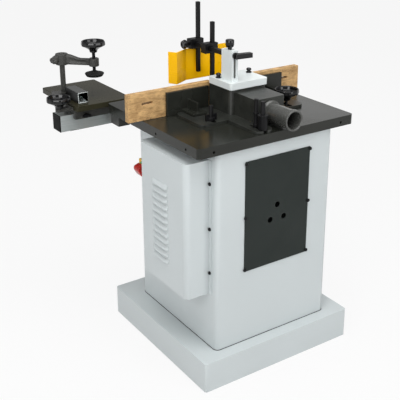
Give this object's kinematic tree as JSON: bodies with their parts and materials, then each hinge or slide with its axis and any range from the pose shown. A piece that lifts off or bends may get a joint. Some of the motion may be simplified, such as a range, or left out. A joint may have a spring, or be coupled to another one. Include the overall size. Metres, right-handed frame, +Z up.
{
  "type": "spindle moulder",
  "caption": "Vertical spindle moulder on a sheet cabinet: cast table, hooded split fence with dust spout, pressure guard, and a small sliding table with a hold-down clamp.",
  "frame": {"origin": "floor below the middle of the plinth, at the centre of the anchor holes", "axes": "+X along the fence, +Y towards the operator, +Z up"},
  "size_m": [0.95, 1.036, 1.311],
  "materials": {
    "white_paint": "smooth gloss enamel",
    "dark_panel": "fine matt coat",
    "table_iron": "ground and oiled",
    "grey_iron": "cast, painted dark grey",
    "motor_grey": "cast, painted",
    "spout_grey": "cast, painted",
    "bright_steel": "turned",
    "dark_steel": "blackened",
    "silver_rail": "satin",
    "black_gloss": "moulded gloss",
    "black_rubber": "matt",
    "board_wood": "planed, raw",
    "guard_yellow": "gloss",
    "switch_yellow": "moulded",
    "stop_red": "moulded",
    "start_green": "moulded"
  },
  "bodies": {
    "frame": {"plinth": "white_paint", "cabinet": "white_paint", "motor_cover": "white_paint", "panel_screws": "dark_steel", "access_panel": "dark_panel", "table": "table_iron", "table_ring": "table_iron", "slideway": "grey_iron", "switch_box": "switch_yellow", "slide_rail": "silver_rail", "rail_end_caps": "black_gloss", "rail_brackets": "grey_iron", "fence_studs": "dark_steel"},
    "rise": {"rise_carriage": "grey_iron", "spindle_bearings": "bright_steel", "motor": "motor_grey", "drive_belt": "black_rubber"},
    "spindle": {"spindle_shaft": "bright_steel", "spindle_pulley": "bright_steel", "cutter_block": "bright_steel", "cutter_knives": "bright_steel", "spindle_spacers": "bright_steel", "spindle_nut": "bright_steel"},
    "motor_rotor": {"motor_shaft": "bright_steel", "motor_pulley": "bright_steel"},
    "rise_wheel": {"rise_shaft": "bright_steel", "rise_handwheel": "black_gloss"},
    "rise_screw": {"rise_screw": "bright_steel"},
    "fence": {"fence_hood": "table_iron", "dust_port": "spout_grey", "hood_lid": "white_paint", "lid_knobs": "black_gloss", "guard_column": "white_paint"},
    "fence_left": {"fence_plate_left": "table_iron", "fence_board_left": "board_wood"},
    "fence_right": {"fence_plate_right": "table_iron", "fence_board_right": "board_wood"},
    "fence_lock": {"fence_lock_wheel": "black_gloss"},
    "column_knob": {"column_knob": "black_gloss"},
    "guard_arm": {"guard_arm": "dark_steel"},
    "column_lever": {"column_lever": "black_gloss"},
    "near_block": {"clamp_block_near": "grey_iron"},
    "near_bar": {"pressure_bar_near": "dark_steel"},
    "far_block": {"clamp_block_far": "grey_iron"},
    "star_knob": {"star_knob": "black_gloss"},
    "far_bar": {"pressure_bar_far": "dark_steel", "front_guard": "guard_yellow"},
    "saddle": {"slide_plate": "table_iron", "slide_saddle": "grey_iron"},
    "saddle_wing": {"saddle_wing_screw": "dark_steel"},
    "carrier": {"fence_carrier": "grey_iron", "fence_tube": "silver_rail", "clamp_post": "dark_steel"},
    "carrier_wheel": {"carrier_wheel": "black_gloss"},
    "clamp_arm": {"clamp_arm": "grey_iron"},
    "clamp_pad": {"clamp_pad": "black_rubber"},
    "clamp_screw": {"clamp_screw": "dark_steel", "clamp_wheel": "black_gloss"},
    "stop_paddle": {"stop_paddle": "stop_red"},
    "start_button": {"start_button": "start_green"}
  },
  "joints": [
    {"name": "rise_wheel_turn", "type": "hinge", "parent": "frame", "child": "rise_wheel", "pos_m": [0.12, 0.278, 0.4474], "axis": [0, 1, 0], "range_deg": [-2881, 1]},
    {"name": "spindle_rise", "type": "slide", "parent": "frame", "child": "rise", "axis": [0, 0, 1], "range_m": [-0.08, 0]},
    {"name": "rise_screw_turn", "type": "hinge", "parent": "frame", "child": "rise_screw", "pos_m": [0.12, 0.125, 0.578], "axis": [0, 0, 1], "range_deg": [-1, 2881]},
    {"name": "spindle_spin", "type": "hinge", "parent": "rise", "child": "spindle", "pos_m": [0.022, 0.047, 0.878], "axis": [0, 0, 1], "continuous": true},
    {"name": "motor_spin", "type": "hinge", "parent": "rise", "child": "motor_rotor", "pos_m": [-0.205, -0.088, 0.678], "axis": [0, 0, 1], "continuous": true},
    {"name": "fence_adjust", "type": "slide", "parent": "frame", "child": "fence", "axis": [0, 1, 0], "range_m": [-0.02, 0.02]},
    {"name": "fence_left_slide", "type": "slide", "parent": "fence", "child": "fence_left", "axis": [1, 0, 0], "range_m": [-0.05, 0]},
    {"name": "fence_right_slide", "type": "slide", "parent": "fence", "child": "fence_right", "axis": [1, 0, 0], "range_m": [0, 0.05]},
    {"name": "fence_lock_turn", "type": "hinge", "parent": "frame", "child": "fence_lock", "pos_m": [0.196, -0.095, 0.954], "axis": [0, 0, 1], "range_deg": [-180, 180]},
    {"name": "column_knob_turn", "type": "hinge", "parent": "fence", "child": "column_knob", "pos_m": [-0.03, -0.038, 1.17], "axis": [0, 0, 1], "range_deg": [-1, 3241]},
    {"name": "guard_rise", "type": "slide", "parent": "fence", "child": "guard_arm", "axis": [0, 0, 1], "range_m": [-0.045, 0]},
    {"name": "column_lever_turn", "type": "hinge", "parent": "guard_arm", "child": "column_lever", "pos_m": [-0.03, -0.0703, 1.153], "axis": [0, 1, 0], "range_deg": [-60, 45]},
    {"name": "near_block_slide", "type": "slide", "parent": "guard_arm", "child": "near_block", "axis": [0, 1, 0], "range_m": [-0.03, 0.05]},
    {"name": "near_bar_slide", "type": "slide", "parent": "near_block", "child": "near_bar", "axis": [0, 0, 1], "range_m": [-0.04, 0.07]},
    {"name": "far_block_slide", "type": "slide", "parent": "guard_arm", "child": "far_block", "axis": [0, 1, 0], "range_m": [-0.04, 0.015]},
    {"name": "far_bar_slide", "type": "slide", "parent": "far_block", "child": "far_bar", "axis": [0, 0, 1], "range_m": [-0.03, 0]},
    {"name": "star_knob_turn", "type": "hinge", "parent": "far_block", "child": "star_knob", "pos_m": [-0.0593, 0.19, 1.153], "axis": [1, 0, 0], "range_deg": [-180, 180]},
    {"name": "table_slide", "type": "slide", "parent": "frame", "child": "saddle", "axis": [1, 0, 0], "range_m": [-0.05, 0.45]},
    {"name": "wing_screw_turn", "type": "hinge", "parent": "saddle", "child": "saddle_wing", "pos_m": [-0.418, 0.3814, 0.88], "axis": [0, 1, 0], "range_deg": [-90, 90]},
    {"name": "carrier_slide", "type": "slide", "parent": "saddle", "child": "carrier", "axis": [0, 1, 0], "range_m": [-0.01, 0.08]},
    {"name": "carrier_wheel_turn", "type": "hinge", "parent": "carrier", "child": "carrier_wheel", "pos_m": [-0.517, 0.405, 0.918], "axis": [0, 0, 1], "range_deg": [-180, 180]},
    {"name": "clamp_swing", "type": "hinge", "parent": "carrier", "child": "clamp_arm", "pos_m": [-0.441, 0.525, 1.078], "axis": [0, 0, 1], "range_deg": [-60, 100]},
    {"name": "clamp_drop", "type": "slide", "parent": "clamp_arm", "child": "clamp_pad", "axis": [0, 0, 1], "range_m": [-0.02, 0.015]},
    {"name": "clamp_screw_turn", "type": "hinge", "parent": "clamp_pad", "child": "clamp_screw", "pos_m": [-0.343, 0.44, 1.078], "axis": [0, 0, 1], "range_deg": [-1441, 1081]},
    {"name": "stop_paddle_lift", "type": "hinge", "parent": "frame", "child": "stop_paddle", "pos_m": [-0.28555, 0.189, 0.704], "axis": [0, 1, 0], "range_deg": [0, 60]},
    {"name": "start_press", "type": "slide", "parent": "frame", "child": "start_button", "axis": [1, 0, 0], "range_m": [0, 0.0025], "stiffness_N_per_m": 400}
  ],
  "couplings": [
    {"joint": "rise_wheel_turn", "follows": "spindle_rise", "rad_per_m": 628.32},
    {"joint": "rise_screw_turn", "follows": "spindle_rise", "rad_per_m": -628.32},
    {"joint": "motor_spin", "follows": "spindle_spin", "ratio": 0.64286},
    {"joint": "column_knob_turn", "follows": "guard_rise", "rad_per_m": -1256.6},
    {"joint": "clamp_screw_turn", "follows": "clamp_drop", "rad_per_m": 1256.6}
  ]
}
